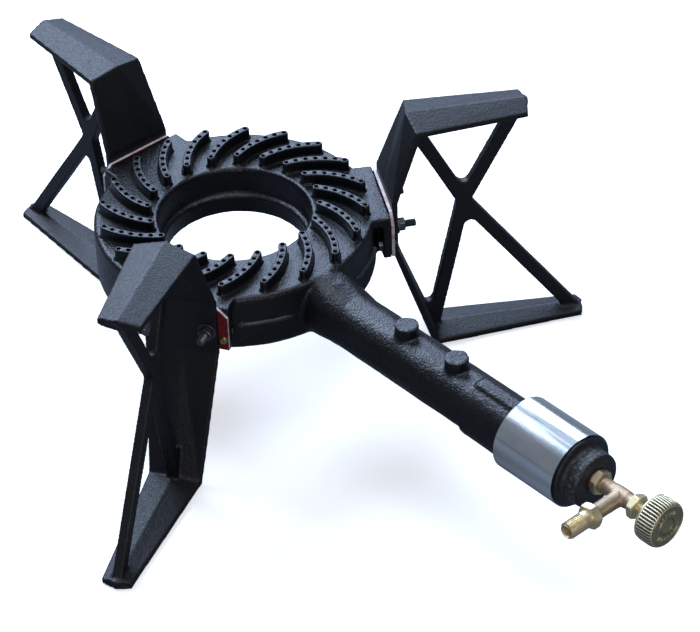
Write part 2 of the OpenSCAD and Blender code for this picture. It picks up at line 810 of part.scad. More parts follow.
// The knob is a fluted cup round a hub, with a sunk face
module knob() {
    rim = 3 * flute_depth;
    hub_d = stem_d * 2;
    hub_back = -knob_gap * 0.55;
    color(brass) at_valve(knob_back) difference() {
        union() {
            intersection() {
                linear_extrude(knob_t) polygon([for (i = [0:4 * flute_count - 1]) flute_point(i)]);
                knob_envelope();
            }
            translate([0, 0, hub_back]) cylinder(d = hub_d, h = knob_t / 2 - hub_back);
        }
        translate([0, 0, -cut]) tube_solid(knob_d - 2 * rim, hub_d, knob_t / 2 + cut);
        translate([0, 0, knob_t - rim / 3]) tube_solid(knob_d - 2 * rim, cap_d + rim, rim);
        translate([0, 0, knob_t - cap_deep]) cylinder(d = cap_d, h = knob_t);
        translate([0, 0, hub_back - cut])
            cylinder(d = stem_d + 2 * fit_gap, h = drive_front - drive_len - knob_back - hub_back + cut);
        translate([-drive_w / 2 - fit_gap, -drive_w / 2 - fit_gap, hub_back])
            cube([drive_w + 2 * fit_gap, drive_w + 2 * fit_gap, drive_front - knob_back - hub_back]);
        cylinder(d = drive_w * 0.6 + 2 * hole_gap, h = knob_t);
    }
}

module knob_screw() {
    head_h = drive_w * 0.4;
    color(steel) at_valve(screw_seat) {
        cylinder(d = drive_w * 1.2, h = head_h);
        translate([0, 0, -drive_len * 0.7]) cylinder(d = drive_w * 0.6 - 2 * fit_gap, h = drive_len * 0.7 + cut);
    }
}

module knob_cap() {
    cap_back = screw_seat + drive_w * 0.4;
    color(brass) at_valve(cap_back) cylinder(d = cap_d - 2 * fit_gap, h = knob_front - cap_back - fit_gap);
}

burner_casting();
back_leg();
right_leg();
left_leg();
back_gasket();
right_gasket();
left_gasket();
leg_studs();
leg_washers();
leg_nuts();
gasket_screws();
gasket_screw_nuts();
air_sleeve();
adapter_washer();
outlet_adapter();
jet_nozzle();
valve_body();
inlet_washer();
inlet_adapter();
packing_washer();
gland_packing();
gland_nut();
seat_washer();
seat_plug();
valve_stem();
knob();
knob_screw();
knob_cap();
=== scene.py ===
import bpy, bmesh, random
from math import sin, cos, tan, pi, radians, degrees, atan2, sqrt, hypot
from mathutils import Vector, Matrix, noise


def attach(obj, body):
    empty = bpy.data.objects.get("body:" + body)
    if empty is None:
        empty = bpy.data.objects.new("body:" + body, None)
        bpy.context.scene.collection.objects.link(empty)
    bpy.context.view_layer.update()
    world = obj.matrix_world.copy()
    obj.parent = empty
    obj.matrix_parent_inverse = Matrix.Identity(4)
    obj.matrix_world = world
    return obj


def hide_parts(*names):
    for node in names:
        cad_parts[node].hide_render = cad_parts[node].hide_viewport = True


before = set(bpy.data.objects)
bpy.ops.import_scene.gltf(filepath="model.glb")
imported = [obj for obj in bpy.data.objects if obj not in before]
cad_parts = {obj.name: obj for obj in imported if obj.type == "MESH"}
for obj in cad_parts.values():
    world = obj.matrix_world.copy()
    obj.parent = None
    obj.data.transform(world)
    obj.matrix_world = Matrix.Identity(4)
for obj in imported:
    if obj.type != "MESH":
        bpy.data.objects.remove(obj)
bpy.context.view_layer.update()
mm = 0.001
random.seed(7)
noise.seed_set(7)

# Sizes in millimetres and degrees, in the CAD model's frame.
# A profile is a row of (radius, place along its axis).
ring = {"outer": 140, "hole": 76, "top": 185, "low": 121, "ledge": 155, "lip": 70.5, "holeLow": 135,
        "under": 95.2, "edge": 4, "lowEdge": 10, "holeEdge": 2, "facets": 180}
lug = {"root": 120, "face": 149.3, "low": 136, "block": 34, "half": 47, "web": 10, "ear": 8.8,
       "overlap": 0.98}
legTurns = {"back": 90, "right": -30, "left": 210}
tube = {"height": 148.5, "radius": 28, "bore": 22, "start": 132, "neck": 32.2,
        "neckCurve": ((30.6, 150), (29.0, 164)), "neckEnd": 176.8, "proud": 0.2, "straight": 190,
        "mouthBack": 412, "mouthFront": 422, "flange": 35.65, "chamfer": 1, "leadRadius": 27, "leadEnd": 417,
        "boreEnd": 330, "facets": 120}
endDisc = {"back": 474.6, "rimBack": 476, "rimFront": 484, "front": 485, "boss": 27.5, "bossRim": 501.2,
           "tip": 26.3, "end": 502.5}
saddle = {"rows": 11, "start": 124, "step": 5.6, "level": 150, "crest": 139, "fall": 0.25, "curve": 0.0006,
          "half": 30.5, "narrowing": 0.028, "power": 0.62, "powerStep": 0.02, "under": -0.4, "facet": 10}
saddleMark = {"half": 5, "back": 151, "front": 159, "height": 181.5, "from": 150, "slope": 0.26,
              "lifts": (-3.0, 1.3), "bevel": 0.4}
# Each rail has a turn and a width; each span has its inner and outer radius and its (place, size) ends
rails = {"turns": ((90, 15), (210, 24), (330, 24)),
         "spans": ((20, 31, ((350, 0.88), (353, 1.0), (413, 1.0))), (27, 35.15, ((420, 1.0), (477, 1.0))))}
# The bosses' rows are (growth of the radius, height or drop from the top, raggedness)
topBosses = {"places": (252, 320.5), "radius": 11.5, "top": 187.4, "thin": 1.5, "sunk": 2.5,
             "fillet": ((1.6, 155), (1.6, 173.0), (0.4, 175.5), (-1.5, 177.5)),
             "wall": ((0.3, 168, 0), (0.1, 176, 0.3), (0, 180, 0.6)),
             "rim": ((-0.1, -1.1, 1), (-0.3, -0.5, 1), (-0.9, -0.1, 1), (-3.5, 0, 0.6), (-8, -0.3, 0.3)),
             "coreFacets": 48, "facets": 72, "lobes": 2.2, "lobeHeight": 9, "biteOut": 0.7, "biteUp": 0.5}
# The ribs' skirt is (growth of the half width, height over the ring's top)
rib = {"count": 20, "start": 8.7, "width": 8.5, "height": 12, "sweep": 20.7, "bend": 84.6, "ports": 7,
       "bore": 2.0, "rim": 2.4, "lead": 0.12, "outerPort": 130.6, "innerPort": 85.5,
       "portHeights": (12.0, 11.75, 11.3, 5.0, -5.0),
       "skirt": ((2.6, -0.9), (1.7, -0.05), (0.9, 0.5), (0.35, 1.4), (0.08, 3.0), (0.0, 6.0), (-0.1, 9.0),
                 (-0.16, 10.6), (-0.34, 11.4), (-0.75, 11.85), (-1.25, 12.0)),
       "arcSteps": 18, "capSteps": 10, "portFacets": 16, "heightSpread": (-0.25, 0.15),
       "wave": 7.0, "waveDeep": 0.22, "grit": 2.6, "gritDeep": 0.07}
# Each bead has its first and last angle and the place of its knot
bead = {"spans": ((-130, -107, 0.06), (-73, -50, 0.94)), "steps": 60, "facet": 30, "radius": 2.3,
        "flat": 0.85, "height": 154, "proud": 0.1, "startSize": 0.25, "swelling": 9, "uneven": 0.22,
        "unevenPer": 0.7, "sway": 0.5, "swayPer": 0.3, "knotReach": 0.045, "knotSize": 1.7}
raggedEnd = {"bar": 292.5, "foot": 352.5, "barsOver": 150, "grain": 9, "bias": 0.1, "deep": 3.4, "fade": 8}
sleeve = {"back": 406.6, "front": 481.6}
stud = {"side": 28, "height": 162, "radius": 4, "inner": 136.8, "sunk": 4, "outer": 177.8, "plain": 160,
        "pitch": 1.25, "deep": 0.62}
washer = {"radius": 9, "bore": 4.25, "back": 158.3, "front": 159.9, "edge": 0.3, "frontEdge": 0.35,
          "facets": 48}
nut = {"flats": 13, "back": 159.92, "front": 166.4, "bore": 3.7}
hexCut = {"steps": 96, "land": 0.25, "corner": 0.12, "lead": 0.3, "edge": 0.02, "rim": 0.01}
threadCut = {"crest": 0.12, "flank": 0.76, "leadLength": 1.3, "leadSlope": 0.75, "mouth": 0.5,
             "mouthDeep": 1.0, "back": 0.5, "root": 0.96}
valve = {"height": 151.5, "branchAt": 533, "facets": 64,
         "barrel": ((0, 511), (7.7, 511), (8.15, 511.6), (8.15, 513.5), (7.75, 514.3), (7.75, 546.4),
                    (8.15, 547.2), (8.15, 548.5), (7.7, 549), (0, 549)),
         "branch": ((0, 0), (8.0, 0), (8.3, 6), (7.7, 12), (7.7, 31.8), (8.65, 32.3), (8.65, 33.5),
                    (8.2, 33.8), (0, 33.8)),
         "swell": ((0, 522.5), (7.8, 522.5), (8.3, 525), (8.5, 533), (8.3, 541), (7.8, 543.5), (0, 543.5))}
outlet = {"flats": 22, "back": 504.05, "front": 511, "hexBore": 6.0, "facets": 40,
          "spigot": ((4.4, 479), (6.6, 479), (7.0, 480), (7.0, 504.3), (4.4, 504.3))}
inlet = {"flats": 22, "back": 34.65, "front": 43.0, "hexBore": 5.0, "turn": 16.0, "radius": 8.33,
         "deep": 1.15, "pitch": 2.2, "start": 42.6, "end": 69.0, "plain": 50.0, "bore": 5.6, "facets": 72,
         "perPitch": 16}
gland = {"flats": 22, "back": 549.05, "front": 556, "hexBore": 4.3, "turn": 4.0, "facets": 48,
         "collar": ((4.2, 555), (6.0, 555), (6.0, 560.4), (5.5, 560.9), (4.2, 560.9))}
# The knob's rows are (radius, place, share of the flutes' depth)
knob = {"flutes": 44, "depth": 1.0, "perFlute": 8, "power": 1.4,
        "rows": ((4.0, 562.3, 0), (7.4, 562.3, 0), (8.0, 562.9, 0), (8.0, 569.6, 0), (8.6, 570.0, 0),
                 (20.6, 570.0, 0), (21.9, 570.1, 0), (22.3, 570.5, 0), (22.3, 571.7, 0), (21.9, 572.1, 0),
                 (22.0, 572.4, 0.2), (22.9, 573.2, 1), (23.0, 574.5, 1), (23.0, 579, 1), (23.0, 584, 1),
                 (22.9, 586, 1), (22.6, 587.2, 0.9), (22.1, 588.3, 0.7), (21.5, 589.2, 0.45),
                 (20.9, 589.8, 0.2), (20.4, 590.0, 0.05), (20.0, 589.9, 0), (19.6, 589.2, 0),
                 (19.2, 589.0, 0), (17.6, 589.0, 0), (17.3, 589.35, 0), (16.6, 589.45, 0), (15.9, 589.35, 0),
                 (15.6, 589.0, 0), (12.0, 589.0, 0), (10.6, 589.0, 0), (10.2, 589.4, 0), (9.9, 589.9, 0),
                 (9.2, 590.0, 0), (8.75, 589.8, 0), (8.6, 589.0, 0), (8.6, 583.5, 0), (4.0, 583.5, 0)),
        "grooveRadius": 20.9, "grooveBack": 572.6, "grooveFront": 588.8, "grooveWave": -0.15,
        "faceRadius": 20.3, "faceBack": 588.6}
knobTick = {"starts": (0, 180), "count": 6, "first": 45, "step": 18, "inner": 11.7, "outer": 14.9,
            "half": 0.8, "levels": ((588.8, 0.0), (589.8, -0.15))}
knobCap = {"facets": 64, "profile": ((0, 583.6), (8.4, 583.6), (8.4, 589.0), (8.1, 589.6), (7.4, 590.0),
                                     (6.9, 589.9), (6.5, 589.5), (3.0, 589.5), (0, 589.6))}

# Rough skins: rows of (width, depth, seed) in millimetres
castingGrain = ((30, 0.4, 3), (9, 0.18, 11), (4.2, 0.1, 23))
valveGrain = ((6, 0.16, 5), (2, 0.06, 8))


# Placing and mesh helpers
def around(turn, x, y, z):
    a = radians(turn)
    return Vector((x * cos(a) - y * sin(a), x * sin(a) + y * cos(a), z))


def upright(x, y, h):
    return Vector((x, y, h))


def alongTube(x, y, h):
    return Vector((x, -h, y + tube["height"]))


def alongValve(x, y, h):
    return Vector((x, -h, y + valve["height"]))


def alongBranch(x, y, h):
    return Vector((-h, -valve["branchAt"] + x, valve["height"] + y))


def outwards(turn, side, height):
    return lambda x, y, h: around(turn, h, side + x, height + y)


def circle(r, h, steps, place):
    return [place(r * cos(2 * pi * k / steps), r * sin(2 * pi * k / steps), h) for k in range(steps)]


def revolve(profile, steps, place, closed=False):
    verts, faces, rows = [], [], []
    for r, h in profile:
        if r == 0:
            rows.append([len(verts)])
            verts.append(place(0, 0, h))
        else:
            rows.append(list(range(len(verts), len(verts) + steps)))
            verts += circle(r, h, steps, place)
    pairs = list(zip(rows, rows[1:])) + ([(rows[-1], rows[0])] if closed else [])
    for a, b in pairs:
        for k in range(steps):
            n = (k + 1) % steps
            if len(a) == 1 and len(b) > 1:
                faces.append((a[0], b[k], b[n]))
            elif len(b) == 1 and len(a) > 1:
                faces.append((a[k], a[n], b[0]))
            elif len(a) > 1:
                faces.append((a[k], a[n], b[n], b[k]))
    return verts, faces


def loft(loops, capped=True, closed=False):
    n = len(loops[0])
    verts = [p for loop in loops for p in loop]
    faces = []
    spans = len(loops) if closed else len(loops) - 1
    for i in range(spans):
        j = (i + 1) % len(loops)
        faces += [(i * n + k, i * n + (k + 1) % n, j * n + (k + 1) % n, j * n + k) for k in range(n)]
    if capped and not closed:
        faces += [tuple(reversed(range(n))), tuple(range((len(loops) - 1) * n, len(loops) * n))]
    return verts, faces


def slab(turn, x0, x1, y0, y1, z0, z1):
    base = [(x0, y0), (x1, y0), (x1, y1), (x0, y1)]
    return loft([[around(turn, x, y, z) for x, y in base] for z in (z0, z1)])


def joined(parts):
    verts, faces = [], []
    for v, f in parts:
        faces += [tuple(i + len(verts) for i in face) for face in f]
        verts += list(v)
    return verts, faces


def arcPoints(cx, cy, r, a0, a1, n):
    turns = [radians(a0 + (a1 - a0) * i / n) for i in range(n + 1)]
    return [(cx + r * cos(a), cy + r * sin(a)) for a in turns]


def toMesh(name, shape):
    mesh = bpy.data.meshes.new(name)
    mesh.from_pydata([Vector(v) * mm for v in shape[0]], [], shape[1])
    bm = bmesh.new()
    bm.from_mesh(mesh)
    bmesh.ops.recalc_face_normals(bm, faces=bm.faces)
    bm.to_mesh(mesh)
    bm.free()
    return mesh


def asPiece(name, mesh, body, material, sharp=34, replaced=()):
    bm = bmesh.new()
    bm.from_mesh(mesh)
    for face in bm.faces:
        face.smooth = True
    for edge in bm.edges:
        edge.smooth = not (len(edge.link_faces) == 2 and edge.calc_face_angle(0) > radians(sharp))
    bm.to_mesh(mesh)
    bm.free()
    piece = bpy.data.objects.new(name, mesh)
    bpy.context.scene.collection.objects.link(piece)
    mesh.materials.clear()
    mesh.materials.append(material)
    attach(piece, body)
    if replaced:
        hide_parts(*replaced)
    return piece


def pieceOf(name, shape, body, material, replaced=(), sharp=30):
    return asPiece(name, toMesh(name, shape), body, material, sharp, replaced)


def remeshed(name, mesh, size, rounds):
    holder = bpy.data.objects.new(name + "Holder", mesh)
    bpy.context.scene.collection.objects.link(holder)
    grid = holder.modifiers.new("grid", "REMESH")
    grid.mode = "VOXEL"
    grid.voxel_size = size * mm
    soft = holder.modifiers.new("soft", "SMOOTH")
    soft.factor = 0.5
    soft.iterations = rounds
    graph = bpy.context.evaluated_depsgraph_get()
    made = bpy.data.meshes.new_from_object(holder.evaluated_get(graph))
    bpy.data.objects.remove(holder)
    made.name = name
    return made


def roughened(mesh, layers):
    ways = [v.normal.copy() for v in mesh.vertices]
    spots = [v.co / mm for v in mesh.vertices]
    moved = []
    for spot, way in zip(spots, ways):
        shift = 0
        for wide, deep, seed in layers:
            shift += deep * noise.noise(spot / wide + Vector((seed, seed * 2, 0)))
        moved += list((spot + way * shift) * mm)
    mesh.vertices.foreach_set("co", moved)
    mesh.update()


# Node helpers. A grain is (scale per metre, detail, roughness).
def newTree(name):
    material = bpy.data.materials.new(name)
    material.use_nodes = True
    tree = material.node_tree
    tree.nodes.clear()
    return material, tree


def put(tree, kind, values=None, **props):
    made = tree.nodes.new(kind)
    for key, value in props.items():
        setattr(made, key, value)
    for key, value in (values or {}).items():
        if isinstance(value, bpy.types.NodeSocket):
            tree.links.new(value, made.inputs[key])
        else:
            made.inputs[key].default_value = value
    return made


def objectPlace(tree):
    return put(tree, "ShaderNodeTexCoord").outputs["Object"]


def placeAxes(tree, place):
    return put(tree, "ShaderNodeSeparateXYZ", {0: place}).outputs


def pointiness(tree):
    return put(tree, "ShaderNodeNewGeometry").outputs["Pointiness"]


def stretched(tree, place, scale):
    return put(tree, "ShaderNodeMapping", {"Vector": place, "Scale": scale}).outputs[0]


def grain(tree, place, scale, detail=3.0, rough=0.55):
    values = {"Vector": place, "Scale": scale, "Detail": detail, "Roughness": rough, "Distortion": 0.0}
    return put(tree, "ShaderNodeTexNoise", values).outputs[0]


def spread(tree, value, low, high, toLow, toHigh):
    values = {0: value, 1: low, 2: high, 3: toLow, 4: toHigh}
    return put(tree, "ShaderNodeMapRange", values, clamp=True).outputs[0]


def maths(tree, kind, a, b=0.0):
    return put(tree, "ShaderNodeMath", {0: a, 1: b}, operation=kind).outputs[0]


def blendColours(tree, share, a, b):
    full = lambda c: c if isinstance(c, bpy.types.NodeSocket) else (c[0], c[1], c[2], 1.0)
    return put(tree, "ShaderNodeMix", {0: share, 6: full(a), 7: full(b)}, data_type="RGBA").outputs[2]


def mottled(tree, value, a, b):
    return blendColours(tree, spread(tree, value, 0.35, 0.65, 0, 1), a, b)


def dimmed(colour, share):
    return tuple(c * share for c in colour)


def relief(tree, height, deep, below=None):
    values = {"Height": height, "Distance": deep * mm, "Strength": 1.0}
    if below is not None:
        values["Normal"] = below
    return put(tree, "ShaderNodeBump", values).outputs[0]


def finished(material, tree, colour, metallic, rough, normal, coat=0.0, coatRough=0.2, shine=0.5):
    values = {"Base Color": colour, "Metallic": metallic, "Roughness": rough, "Normal": normal,
              "Coat Weight": coat, "Coat Roughness": coatRough, "Specular IOR Level": shine}
    shader = put(tree, "ShaderNodeBsdfPrincipled", values)
    put(tree, "ShaderNodeOutputMaterial", {"Surface": shader.outputs[0]})
    return material


# Materials. Colours are linear, relief depths in millimetres.
# The speck tone is a painted glint colour, small bluish flecks standing in for sparkle highlights
# The worn tone is partly paint wear and partly a painted edge highlight, tinted blue like the sheen
ironLook = {"fine": (900, 3.0, 0.6), "pebble": (430, 2.5, 0.5), "wide": (60, 3.0, 0.5),
            "patch": (16, 4.0, 0.6), "paintedGlints": (520, 2.0, 0.5), "dark": (0.0022, 0.0023, 0.003),
            "light": (0.0052, 0.0054, 0.0068), "wornAndSheen": (0.085, 0.095, 0.125), "glintTone": (0.036, 0.042, 0.058),
            "rough": (0.26, 0.40), "shine": 0.42, "deep": {"wide": 0.10, "pebble": 0.62, "fine": 0.14}}
bossLook = {"pebble": (300, 4.0, 0.65), "wide": (90, 3.0, 0.5), "rustGrain": (160, 3.0, 0.5),
            "dark": (0.007, 0.007, 0.008), "light": (0.014, 0.014, 0.016), "bareAndLit": (0.16, 0.165, 0.17),
            "rust": (0.10, 0.055, 0.03), "bareLitFrom": 486.8, "bareLitTo": 501.7}
screwLook = {"yellowFrom": -30, "greyFrom": -20, "grey": ((0.05, 0.052, 0.058), (0.13, 0.135, 0.14)),
             "yellow": ((0.42, 0.36, 0.16), (0.66, 0.58, 0.30))}
sleeveLook = {"tones": ((0.78, 0.83, 0.82), (0.90, 0.94, 0.91)), "ends": (0.16, 0.19, 0.26),
              "marks": (0.42, 0.43, 0.44), "cells": 210, "cellShare": 0.06, "drawnStretch": (1.0, 0.04, 1.0)}
boardLook = {"red": ((0.10, 0.007, 0.009), (0.20, 0.017, 0.019)),
             "edge": ((0.55, 0.50, 0.50), (0.78, 0.74, 0.73)), "blot": (0.42, 0.14, 0.13),
             "fibreStretch": (1.0, 1.0, 0.25)}
floorLook = {"tones": ((0.86, 0.86, 0.865), (0.90, 0.90, 0.90)), "unseen": (0.15, 0.16, 0.18),
             "glow": (1.0, 0.99, 0.98, 1), "glowStrength": 0.48}


def pastPlace(tree, along, h):
    return spread(tree, along, -h * mm, (1 - h) * mm, 1, 0)


def paintedIron(name, peel=1.0, wearAndSheen=1.0, lift=1.0, dull=0.0):
    material, tree = newTree(name)
    place = objectPlace(tree)
    look = ironLook
    grains = {key: grain(tree, place, *look[key]) for key in ("fine", "pebble", "wide", "patch", "paintedGlints")}
    colour = mottled(tree, grains["patch"], dimmed(look["dark"], lift), dimmed(look["light"], lift))
    # Sharp edges (high pointiness) lighten towards a bluish grey: partly paint wear, partly a painted edge
    # highlight
    wornAndSheen = maths(tree, "MULTIPLY", spread(tree, pointiness(tree), 0.53, 0.62, 0, 1),
                 spread(tree, grains["pebble"], 0.42, 0.62, 0.05, 0.55 * wearAndSheen))
    colour = blendColours(tree, wornAndSheen, colour, look["wornAndSheen"])
    # Painted glints: bluish flecks lighten the base colour where the fine noise peaks
    colour = blendColours(tree, spread(tree, grains["paintedGlints"], 0.70, 0.78, 0, 0.5), colour, look["glintTone"])
    low, high = look["rough"]
    rough = spread(tree, grains["pebble"], 0.3, 0.7, low + dull, high + dull)
    normal = None
    for key, deep in look["deep"].items():
        normal = relief(tree, grains[key], deep * peel, normal)
    return finished(material, tree, colour, 0.0, rough, normal, shine=look["shine"])


def endBossIron(name):
    material, tree = newTree(name)
    place = objectPlace(tree)
    along = placeAxes(tree, place)[1]
    look = bossLook
    pebble, wide, rustGrain = [grain(tree, place, *look[key]) for key in ("pebble", "wide", "rustGrain")]
    # The boss's cylinder band turns speckled light grey: partly bare metal, partly a painted highlight for
    # its lit upper face
    starts, stops = [pastPlace(tree, along, look[key]) for key in ("bareLitFrom", "bareLitTo")]
    side = maths(tree, "SUBTRACT", starts, stops)
    bareAndLit = maths(tree, "MULTIPLY", side, spread(tree, pebble, 0.5, 0.63, 0.0, 0.8))
    colour = blendColours(tree, bareAndLit, mottled(tree, wide, look["dark"], look["light"]), look["bareAndLit"])
    rust = maths(tree, "MULTIPLY", side, spread(tree, rustGrain, 0.58, 0.7, 0, 0.4))
    colour = blendColours(tree, rust, colour, look["rust"])
    rough = spread(tree, pebble, 0.3, 0.7, 0.42, 0.66)
    normal = relief(tree, pebble, 0.9, relief(tree, wide, 0.8))
    return finished(material, tree, colour, spread(tree, bareAndLit, 0, 1, 0, 0.6), rough, normal, 0.15, 0.35)


def platedSteel(name, tint=(0.74, 0.77, 0.80), dull=0.0, scale=260):
    material, tree = newTree(name)
    place = objectPlace(tree)
    cloud = grain(tree, place, 24, 4.0, 0.6)
    spots = grain(tree, place, scale, 3.0, 0.6)
    colour = mottled(tree, cloud, dimmed(tint, 0.78 - 0.3 * dull), tint)
    marks = spread(tree, spots, 0.60, 0.72, 0, 0.35 + 0.4 * dull)
    colour = blendColours(tree, marks, colour, dimmed(tint, 0.45))
    rough = spread(tree, spots, 0.3, 0.7, 0.20 + 0.18 * dull, 0.34 + 0.2 * dull)
    return finished(material, tree, colour, 1.0, rough, relief(tree, spots, 0.03 + 0.05 * dull))


def screwSteel(name):
    material, tree = newTree(name)
    place = objectPlace(tree)
    across = placeAxes(tree, place)[0]
    left = spread(tree, across, screwLook["yellowFrom"] * mm, screwLook["greyFrom"] * mm, 1, 0)
    spots = grain(tree, place, 420, 3.0, 0.6)
    grey, yellow = [mottled(tree, spots, *screwLook[key]) for key in ("grey", "yellow")]
    rough = spread(tree, spots, 0.3, 0.7, 0.28, 0.45)
    colour = blendColours(tree, left, grey, yellow)
    return finished(material, tree, colour, 1.0, rough, relief(tree, spots, 0.05))


def sleeveZinc(name):
    material, tree = newTree(name)
    place = objectPlace(tree)
    along = placeAxes(tree, place)[1]
    look = sleeveLook
    cloud = grain(tree, place, 18, 4.0, 0.55)
    cells = put(tree, "ShaderNodeTexVoronoi", {"Vector": place, "Scale": look["cells"]}).outputs["Color"]
    drawn = grain(tree, stretched(tree, place, look["drawnStretch"]), 420, 2.0, 0.5)
    tone = blendColours(tree, look["cellShare"], mottled(tree, cloud, *look["tones"]), cells)
    # Painted shade: a dark blue band over the last millimetre at each end of the sleeve stands in for the
    # rims' dark reflection
    ends = maths(tree, "ADD", pastPlace(tree, along, sleeve["front"]),
                 spread(tree, along, -(sleeve["back"] + 1) * mm, -sleeve["back"] * mm, 0, 1))
    tone = blendColours(tree, ends, tone, look["ends"])
    marks = spread(tree, grain(tree, place, 120, 5.0, 0.7), 0.62, 0.72, 0, 0.3)
    tone = blendColours(tree, marks, tone, look["marks"])
    rough = spread(tree, drawn, 0.3, 0.7, 0.17, 0.24)
    return finished(material, tree, tone, 1.0, rough, relief(tree, drawn, 0.004, relief(tree, cloud, 0.12)))


def turnedBrass(name, tint, smoothest, roughest, shade, bump=0.03):
    material, tree = newTree(name)
    place = objectPlace(tree)
    cloud = grain(tree, place, 90, 4.0, 0.6)
    spots = grain(tree, place, 420, 3.0, 0.6)
    colour = blendColours(tree, spread(tree, cloud, 0.36, 0.66, 0, 1), tint, dimmed(tint, 0.82))
    colour = blendColours(tree, spread(tree, spots, 0.58, 0.72, 0, 0.6), colour, dimmed(tint, shade))
    # Painted shade: the colour darkens towards dark brown in hollows (low pointiness)
    hollowShade = spread(tree, pointiness(tree), 0.38, 0.47, 0.8, 0)
    colour = blendColours(tree, hollowShade, colour, (0.09, 0.06, 0.03))
    rough = spread(tree, cloud, 0.3, 0.7, smoothest, roughest)
    return finished(material, tree, colour, 1.0, rough, relief(tree, spots, bump))


def gasketBoard(name, turn):
    material, tree = newTree(name)
    place = objectPlace(tree)
    way = (cos(radians(turn)), sin(radians(turn)), 0)
    normal = put(tree, "ShaderNodeNewGeometry").outputs["True Normal"]
    away = put(tree, "ShaderNodeVectorMath", {0: normal, 1: way}, operation="DOT_PRODUCT").outputs["Value"]
    face = spread(tree, maths(tree, "ABSOLUTE", away), 0.4, 0.6, 0, 1)
    fuzz = grain(tree, stretched(tree, place, boardLook["fibreStretch"]), 700, 4.0, 0.7)
    blot = spread(tree, grain(tree, place, 80, 3.0, 0.6), 0.5, 0.65, 0, 0.7)
    edge = blendColours(tree, blot, mottled(tree, fuzz, *boardLook["edge"]), boardLook["blot"])
    colour = blendColours(tree, face, edge, mottled(tree, fuzz, *boardLook["red"]))
    return finished(material, tree, colour, 0.0, 0.8, relief(tree, fuzz, 0.12), shine=0.2)


def softFibre(name, dark, light):
    material, tree = newTree(name)
    fuzz = grain(tree, objectPlace(tree), 500, 4.0, 0.7)
    rough = spread(tree, fuzz, 0.3, 0.7, 0.55, 0.85)
    return finished(material, tree, mottled(tree, fuzz, dark, light), 0.0, rough, relief(tree, fuzz, 0.1))


# The floor shows pale to the camera and reflects dark
def paleFloor(name):
    material, tree = newTree(name)
    place = objectPlace(tree)
    look = floorLook
    seen = put(tree, "ShaderNodeLightPath").outputs["Is Camera Ray"]
    shown = blendColours(tree, grain(tree, place, 3.0, 3.0, 0.5), *look["tones"])
    colour = blendColours(tree, seen, look["unseen"], shown)
    finished(material, tree, colour, 0.0, 0.75, relief(tree, grain(tree, place, 240), 0.05), shine=0.2)
    shader = tree.nodes["Principled BSDF"]
    shader.inputs["Emission Color"].default_value = look["glow"]
    tree.links.new(maths(tree, "MULTIPLY", seen, look["glowStrength"]), shader.inputs["Emission Strength"])
    return material


ironPaint = paintedIron("ironPaint")
legPaint = paintedIron("legPaint", 0.66, 0.4, 1.0, 0.15)
beadPaint = paintedIron("beadPaint", 0.5, 1.6, 9.0)
ribPaint = paintedIron("ribPaint", 0.55, 1.6)
bossPaint = endBossIron("bossPaint")
zinc = platedSteel("zinc")
dullSteel = platedSteel("dullSteel", (0.20, 0.21, 0.225), 0.7, 420)
screwMetal = screwSteel("screwMetal")
brass = turnedBrass("brass", (0.90, 0.76, 0.48), 0.38, 0.52, 0.75)
capBrass = turnedBrass("capBrass", (0.50, 0.44, 0.26), 0.30, 0.48, 0.5)
castBrass = turnedBrass("castBrass", (0.52, 0.39, 0.26), 0.46, 0.62, 0.6, 0.14)
knobBrass = turnedBrass("knobBrass", (0.88, 0.80, 0.56), 0.36, 0.52, 0.55, 0.06)
# Painted shade: a dark brown finish for the troughs of the knob's flutes
knobGrooveShade = turnedBrass("knobGrooveShade", (0.12, 0.10, 0.06), 0.5, 0.7, 0.4, 0.06)
knobFace = turnedBrass("knobFace", (0.48, 0.42, 0.25), 0.38, 0.55, 0.42, 0.10)
redFibre = softFibre("redFibre", (0.30, 0.10, 0.05), (0.42, 0.18, 0.10))
blackRubber = softFibre("blackRubber", (0.012, 0.012, 0.012), (0.03, 0.03, 0.03))
palePacking = softFibre("palePacking", (0.5, 0.5, 0.47), (0.74, 0.73, 0.70))
print("stage: materials", len(bpy.data.materials))


# The casting's body: closed forms joined in one voxel skin, with the ribs and beads apart
def ringForm():
    top, edge, lowEdge, holeEdge = ring["top"], ring["edge"], ring["lowEdge"], ring["holeEdge"]
    section = arcPoints(ring["outer"] - edge, top - edge, edge, 90, 0, 4)
    section += arcPoints(ring["outer"] - lowEdge, ring["low"] + lowEdge, lowEdge, 0, -90, 5)
    section += [(ring["under"], ring["low"]), (ring["lip"], ring["holeLow"]), (ring["lip"], ring["ledge"]),
                (ring["hole"], ring["ledge"])]
    section += arcPoints(ring["hole"] + holeEdge, top - holeEdge, holeEdge, 180, 90, 3)
    return revolve(section, ring["facets"], upright, True)


def lugForms(turn):
    face, block, half, top = lug["face"], lug["block"], lug["half"], ring["top"]
    made = [slab(turn, lug["root"], face, -block, block, lug["low"], top),
            slab(turn, lug["root"], face, -half, half, top - lug["web"], top)]
    for side in (-1, 1):
        a, b = sorted((side * block * lug["overlap"], side * half))
        made.append(slab(turn, face - lug["ear"], face, a, b, lug["low"], top))
    return made


def tubeForm():
    radius, back, front = tube["radius"], tube["mouthBack"], tube["mouthFront"]
    flange, chamfer = tube["flange"], tube["chamfer"]
    profile = [(0, tube["start"]), (tube["neck"], tube["start"]), *tube["neckCurve"],
               (radius + tube["proud"], tube["neckEnd"]), (radius, tube["straight"]), (radius, back),
               (flange - chamfer, back), (flange, back + chamfer), (flange, front - chamfer),
               (flange - chamfer, front), (tube["leadRadius"], front), (tube["bore"], tube["leadEnd"]),
               (tube["bore"], tube["boreEnd"]), (0, tube["boreEnd"])]
    return revolve(profile, tube["facets"], alongTube)


